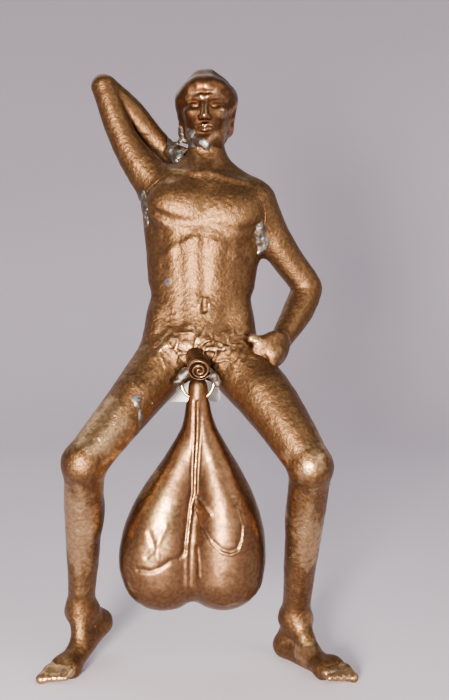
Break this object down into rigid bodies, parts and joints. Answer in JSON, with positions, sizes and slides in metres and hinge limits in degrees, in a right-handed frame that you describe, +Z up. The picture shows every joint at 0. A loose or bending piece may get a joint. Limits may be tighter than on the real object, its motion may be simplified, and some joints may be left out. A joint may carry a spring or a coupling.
{
  "type": "souvenir figurine",
  "caption": "Cast bronze novelty figurine of a standing nude adult, one hand behind the head and one on the hip, with an oversize two-lobed pendant hung from a split ring between the legs.",
  "frame": {"origin": "under the middle of the figure's bounding box, in the plane that the soles stand on", "axes": "+Z up from the soles to the head, the figure faces -Y, +X is the figure's left, which is the viewer's right from the front"},
  "size_m": [0.0976, 0.0412, 0.1909],
  "materials": {
    "cast_bronze": "cast bronze with a brown patina, finely granular, rubbed to gold on the high spots",
    "cast_bronze_dark": "cast bronze with a darker chocolate patina, smoother and glossier",
    "polished_bronze": "handled bronze, smooth and glossy under a thin brown patina",
    "brass_wire": "drawn brass wire, bright and a little dulled",
    "solder": "dull grey soft solder, lumpy",
    "foam_pad": "white double-sided foam pad"
  },
  "bodies": {
    "figure": {"torso": "cast_bronze", "head": "cast_bronze_dark", "raised_arm": "cast_bronze", "akimbo_arm": "cast_bronze", "right_leg": "cast_bronze", "left_leg": "cast_bronze", "groin_stub": "cast_bronze_dark", "ring_lug": "solder", "belly_plug": "solder", "mounting_pad": "foam_pad", "solder_raised_armpit": "solder", "solder_akimbo_armpit": "solder", "solder_hand": "solder", "solder_throat": "solder", "solder_groin": "solder", "solder_thigh": "solder"},
    "ring": {"split_ring": "brass_wire"},
    "pendant": {"pendant": "polished_bronze"}
  },
  "joints": [
    {"name": "ring_sway", "type": "hinge", "parent": "figure", "child": "ring", "pos_m": [-0.00032, -0.00189, 0.0897], "axis": [0, 1, 0], "range_deg": [-4.5, 4.5]},
    {"name": "pendant_swing", "type": "hinge", "parent": "ring", "child": "pendant", "pos_m": [-0.00032, -0.00189, 0.08515], "axis": [1, 0, 0], "range_deg": [-60, 45]}
  ]
}
